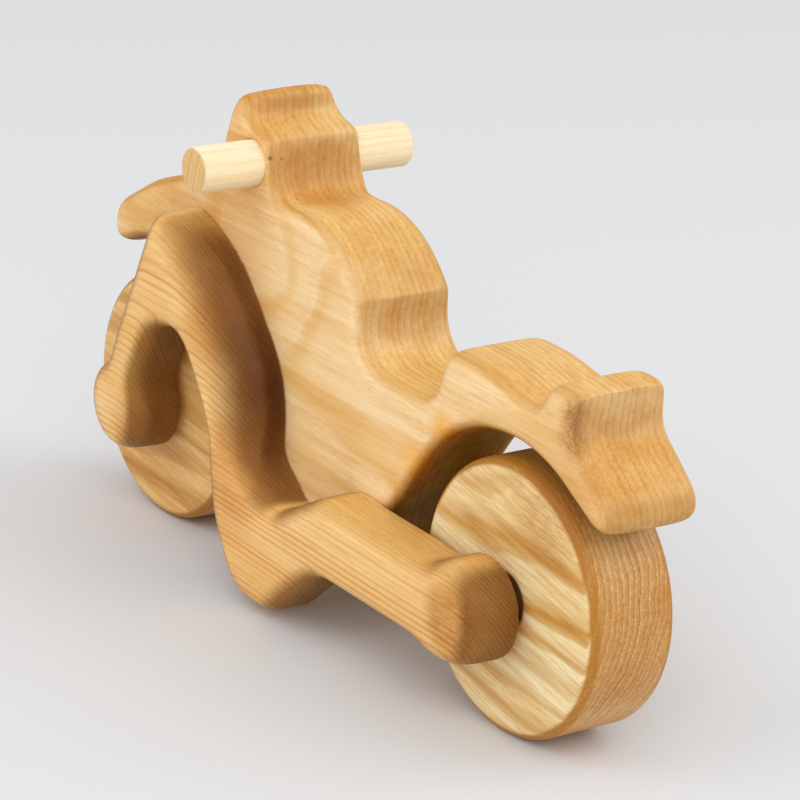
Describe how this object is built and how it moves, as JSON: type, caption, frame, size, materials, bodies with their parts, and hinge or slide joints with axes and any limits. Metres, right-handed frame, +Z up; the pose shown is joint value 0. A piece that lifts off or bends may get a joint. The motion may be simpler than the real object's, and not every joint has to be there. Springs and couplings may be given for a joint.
{
  "type": "toy motorcycle",
  "caption": "Wooden push-along toy motorcycle: a shaped plank body between cut-out side frames, with a dowel handlebar and plain disc wheels that roll on dowel axles.",
  "frame": {"origin": "on the ground, under the middle of the bounding box", "axes": "+X forwards, +Y to the rider's left, +Z up"},
  "size_m": [0.228, 0.0634, 0.127],
  "materials": {
    "body_wood": "oiled, satin, honey-coloured",
    "frame_wood": "oiled, satin, honey-coloured",
    "wheel_wood": "oiled, satin, strongly banded",
    "handlebar_wood": "oiled, satin, pale",
    "axle_wood": "plain dowel"
  },
  "bodies": {
    "chassis": {"body": "body_wood", "left_side_frame": "frame_wood", "right_side_frame": "frame_wood", "front_axle": "axle_wood", "rear_axle": "axle_wood", "handlebar": "handlebar_wood"},
    "front_wheel": {"front_wheel": "wheel_wood"},
    "rear_wheel": {"rear_wheel": "wheel_wood"}
  },
  "joints": [
    {"name": "front_wheel_spin", "type": "hinge", "parent": "chassis", "child": "front_wheel", "pos_m": [0.07996, 0, 0.034], "axis": [0, 1, 0], "continuous": true},
    {"name": "rear_wheel_spin", "type": "hinge", "parent": "chassis", "child": "rear_wheel", "pos_m": [-0.07684, 0, 0.034], "axis": [0, 1, 0], "continuous": true}
  ]
}
